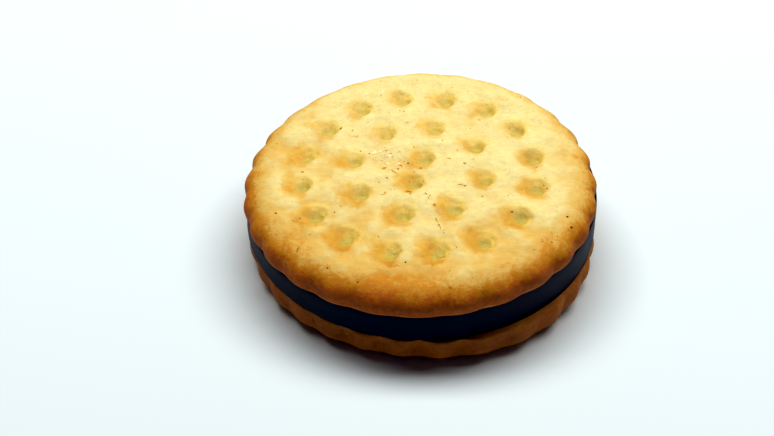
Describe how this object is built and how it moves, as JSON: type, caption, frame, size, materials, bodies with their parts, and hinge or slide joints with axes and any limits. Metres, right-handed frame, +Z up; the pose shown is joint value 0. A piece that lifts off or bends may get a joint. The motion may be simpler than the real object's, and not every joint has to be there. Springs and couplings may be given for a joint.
{
  "type": "chocolate cream sandwich biscuit",
  "caption": "Two round golden biscuits with scalloped edges and docking holes, joined by a thick layer of dark chocolate cream.",
  "frame": {"origin": "on the floor, below the middle of the whole biscuit", "axes": "+Z up through the layers; -Y is the side nearest the camera; +X is the side where the upper biscuit stands a little higher"},
  "size_m": [0.0658, 0.0664, 0.0177],
  "materials": {
    "baked_crust": "dry baked dough, pale gold in the middle and browned at the edge",
    "cream": "smooth dark chocolate cream with a soft sheen",
    "baked_underside": "dry baked dough, browner than the upper biscuit"
  },
  "bodies": {
    "root": {"top_biscuit": "baked_crust", "chocolate_cream": "cream", "bottom_biscuit": "baked_underside"}
  },
  "joints": []
}
